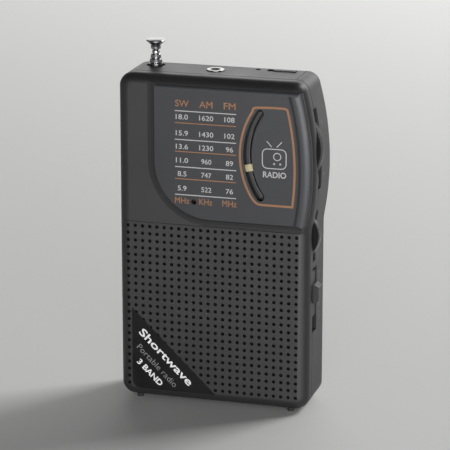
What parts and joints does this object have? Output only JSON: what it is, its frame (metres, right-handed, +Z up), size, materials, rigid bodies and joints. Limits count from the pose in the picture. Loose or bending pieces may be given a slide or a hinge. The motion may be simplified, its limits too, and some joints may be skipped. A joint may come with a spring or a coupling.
{
  "type": "shortwave receiver",
  "caption": "Pocket shortwave receiver with a printed dial and curved pointer window, edge thumb wheels, slide switches, perforated speaker grille and telescopic antenna.",
  "frame": {"origin": "on the ground under the middle of the overall box", "axes": "+X to the right across the front, the side with the thumb wheels; -Y towards the listener; +Z up, along the antenna"},
  "size_m": [0.0731, 0.0242, 0.13],
  "materials": {
    "case_plastic": "fine spark-eroded texture, dark grey",
    "panel_plastic": "very fine texture, blue-grey",
    "wheel_plastic": "moulded dark grey with a knurled rim",
    "pointer_plastic": "cream moulding",
    "gear_plastic": "natural acetal",
    "knob_plastic": "black moulding",
    "rubber": "black rubber",
    "label_foil": "black printed foil",
    "screw_steel": "zinc-plated",
    "steel": "stamped sheet steel",
    "chrome": "bright plating",
    "jack_metal": "bright ring",
    "board_laminate": "phenolic paper board",
    "component_plastic": "black moulded component",
    "capacitor_film": "milky plastic case",
    "capacitor_can": "sleeved aluminium can",
    "can_metal": "tinned screening can",
    "ferrite": "sintered ferrite",
    "copper": "enamelled copper winding",
    "magnet": "ferrite magnet",
    "cone_paper": "doped paper cone",
    "screen_paper": "thin black paper",
    "foam": "felt ring",
    "cell_jacket": "printed film on a steel can",
    "spring_steel": "nickel-plated spring wire",
    "lamp_red": "tinted lens, unlit",
    "wire_red": "red sleeve",
    "wire_black": "black sleeve"
  },
  "bodies": {
    "case": {"front_cabinet": "case_plastic", "speaker_grille": "case_plastic", "dust_screen": "screen_paper", "dial_panel": "panel_plastic", "rear_cabinet": "case_plastic", "corner_label": "label_foil", "feet": "rubber", "case_screws": "screw_steel", "tuning_capacitor": "capacitor_film", "volume_potentiometer": "component_plastic", "band_switch_body": "component_plastic", "power_switch_body": "component_plastic", "headphone_jack": "component_plastic", "jack_ring": "jack_metal", "power_lamp": "lamp_red", "tuning_lamp": "lamp_red", "circuit_board": "board_laminate", "board_screws": "screw_steel", "ferrite_rod": "ferrite", "ferrite_coil": "copper", "ferrite_holders": "gear_plastic", "if_transformers": "can_metal", "capacitors": "capacitor_can", "radio_chip": "component_plastic", "speaker_frame": "steel", "speaker_magnet": "magnet", "speaker_cone": "cone_paper", "speaker_gasket": "foam", "lower_cell": "cell_jacket", "upper_cell": "cell_jacket", "contact_springs": "spring_steel", "link_plate": "spring_steel", "end_plates": "spring_steel", "antenna_bushing": "component_plastic", "antenna_base": "chrome", "antenna_bracket": "steel", "antenna_screw": "screw_steel", "speaker_wires": "wire_black", "battery_wires": "wire_red", "antenna_wire": "wire_black"},
    "tuning": {"tuning_wheel": "wheel_plastic", "tuning_shaft": "gear_plastic", "tuning_wheel_screw": "screw_steel"},
    "pointer": {"pointer_arm": "pointer_plastic", "pointer_gear": "gear_plastic"},
    "volume": {"volume_wheel": "wheel_plastic", "volume_shaft": "gear_plastic", "volume_wheel_screw": "screw_steel"},
    "band_switch": {"band_slider": "knob_plastic"},
    "power_switch": {"power_slider": "knob_plastic"},
    "battery_cover": {"battery_door": "case_plastic"},
    "antenna_1": {"antenna_section_1": "chrome"},
    "antenna_2": {"antenna_section_2": "chrome"},
    "antenna_3": {"antenna_section_3": "chrome"},
    "antenna_end": {"antenna_tip": "chrome", "antenna_knob": "chrome"}
  },
  "joints": [
    {"name": "tuning_turn", "type": "hinge", "parent": "case", "child": "tuning", "pos_m": [0.02055, -0.0032, 0.0957], "axis": [0, -1, 0], "range_deg": [-67.5, 112.5]},
    {"name": "pointer_turn", "type": "hinge", "parent": "case", "child": "pointer", "pos_m": [0.02843, -0.01, 0.09281], "axis": [0, -1, 0], "range_deg": [-62.5, 37.5]},
    {"name": "volume_turn", "type": "hinge", "parent": "case", "child": "volume", "pos_m": [0.02645, -0.0026, 0.0643], "axis": [0, -1, 0], "range_deg": [-150, 120]},
    {"name": "band_slide", "type": "slide", "parent": "case", "child": "band_switch", "axis": [0, 0, -1], "range_m": [0, 0.0052]},
    {"name": "power_slide", "type": "slide", "parent": "case", "child": "power_switch", "axis": [-1, 0, 0], "range_m": [0, 0.0022]},
    {"name": "door_slide", "type": "slide", "parent": "case", "child": "battery_cover", "axis": [0, 0, -1], "range_m": [0, 0.012]},
    {"name": "antenna_slide_1", "type": "slide", "parent": "case", "child": "antenna_1", "axis": [0, 0, 1], "range_m": [0, 0.056]},
    {"name": "antenna_slide_2", "type": "slide", "parent": "antenna_1", "child": "antenna_2", "axis": [0, 0, 1], "range_m": [0, 0.056]},
    {"name": "antenna_slide_3", "type": "slide", "parent": "antenna_2", "child": "antenna_3", "axis": [0, 0, 1], "range_m": [0, 0.056]},
    {"name": "antenna_slide_4", "type": "slide", "parent": "antenna_3", "child": "antenna_end", "axis": [0, 0, 1], "range_m": [0, 0.056]}
  ],
  "couplings": [
    {"joint": "pointer_turn", "follows": "tuning_turn", "ratio": -0.55556}
  ]
}
